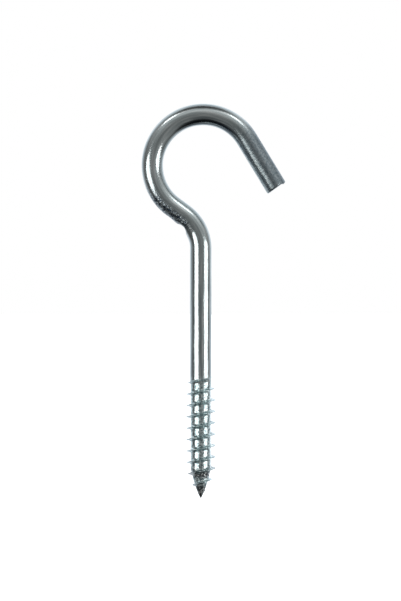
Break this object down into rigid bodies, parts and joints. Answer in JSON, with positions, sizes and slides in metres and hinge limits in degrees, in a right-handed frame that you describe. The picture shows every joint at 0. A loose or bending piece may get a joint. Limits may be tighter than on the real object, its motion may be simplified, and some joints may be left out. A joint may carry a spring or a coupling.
{
  "type": "screw hook",
  "caption": "Bent-wire screw hook: open round bowl, straight shank and a coarse right-hand wood-screw thread with a gimlet point, for hanging things from timber or a plug.",
  "frame": {"origin": "on the thread's axis where the thread starts, which is the face of the timber when the thread is fully driven", "axes": "+Z along the thread's axis from the point towards the bowl, +X towards the side on which the hook is open, Y across the plane of the hook"},
  "size_m": [0.04, 0.0082, 0.11],
  "materials": {
    "zinc_plated_steel": "bright barrel-plated zinc over drawn steel wire"
  },
  "bodies": {
    "root": {"screw_hook": "zinc_plated_steel"}
  },
  "joints": []
}
